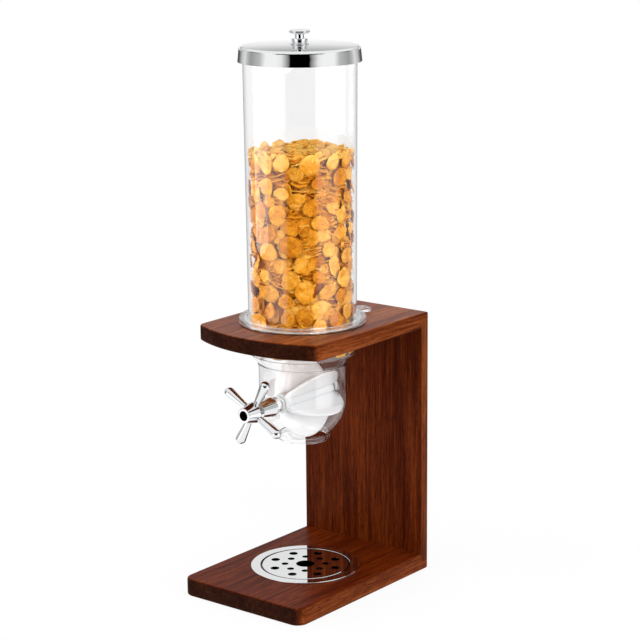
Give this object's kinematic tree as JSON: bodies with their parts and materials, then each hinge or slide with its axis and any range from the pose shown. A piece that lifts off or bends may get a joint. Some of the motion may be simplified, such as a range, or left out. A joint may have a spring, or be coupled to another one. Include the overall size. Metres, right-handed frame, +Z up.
{
  "type": "gravity food dispenser",
  "caption": "Gravity bulk food bin: clear canister over a clear bowl with a soft paddle wheel turned by a cross handle, on a C-shaped wooden stand with a crumb dish.",
  "frame": {"origin": "centre of the base board's outline, at the bottom of the rubber feet", "axes": "+X to the object's right, -Y to the front with the cross handle, +Z up along the canister"},
  "size_m": [0.19, 0.265, 0.7046],
  "materials": {
    "wood": "oiled dark reddish brown, satin",
    "dowel_wood": "raw beech",
    "steel_screw": "zinc plated",
    "foot_rubber": "matte",
    "mirror_steel": "mirror polished stainless steel",
    "chrome": "mirror chrome",
    "clear_plastic": "clear, polished",
    "seal_silicone": "translucent white silicone",
    "wheel_silicone": "milky white silicone, satin",
    "white_plastic": "moulded white",
    "corn_flakes": "toasted corn flakes, dry and matte"
  },
  "bodies": {
    "root": {"base_board": "wood", "back_panel": "wood", "top_shelf": "wood", "shelf_dowels": "dowel_wood", "base_screws": "steel_screw", "rubber_feet": "foot_rubber", "dispenser_housing": "clear_plastic", "canister_tube": "clear_plastic", "canister_seal": "seal_silicone", "cereal_fill": "corn_flakes", "front_bush": "white_plastic", "rear_bush": "white_plastic"},
    "rotor": {"drive_shaft": "steel_screw", "wheel_core": "white_plastic", "paddle_wheel": "wheel_silicone", "flared_collar": "chrome", "handle_hub": "chrome", "handle_arms": "chrome", "handle_screw": "steel_screw", "rear_clip": "steel_screw"},
    "locking_ring": {"lock_ring": "clear_plastic"},
    "lid": {"lid_cover": "mirror_steel", "lid_seal": "seal_silicone", "lid_knob": "chrome", "knob_screw": "steel_screw", "knob_washer": "steel_screw"},
    "crumb_dish": {"tray_dish": "mirror_steel"},
    "perforated_plate": {"tray_grille": "mirror_steel"}
  },
  "joints": [
    {"name": "handle_turn", "type": "hinge", "parent": "root", "child": "rotor", "pos_m": [0, -0.0035, 0.248], "axis": [0, -1, 0], "continuous": true},
    {"name": "ring_turn", "type": "hinge", "parent": "root", "child": "locking_ring", "pos_m": [0, -0.0035, 0.349], "axis": [0, 0, 1], "range_deg": [0, 25]},
    {"name": "lid_lift", "type": "slide", "parent": "root", "child": "lid", "axis": [0, 0, 1], "range_m": [0, 0.06]},
    {"name": "dish_lift", "type": "slide", "parent": "root", "child": "crumb_dish", "axis": [0, 0, 1], "range_m": [0, 0.03]},
    {"name": "plate_lift", "type": "slide", "parent": "crumb_dish", "child": "perforated_plate", "axis": [0, 0, 1], "range_m": [0, 0.02]}
  ]
}
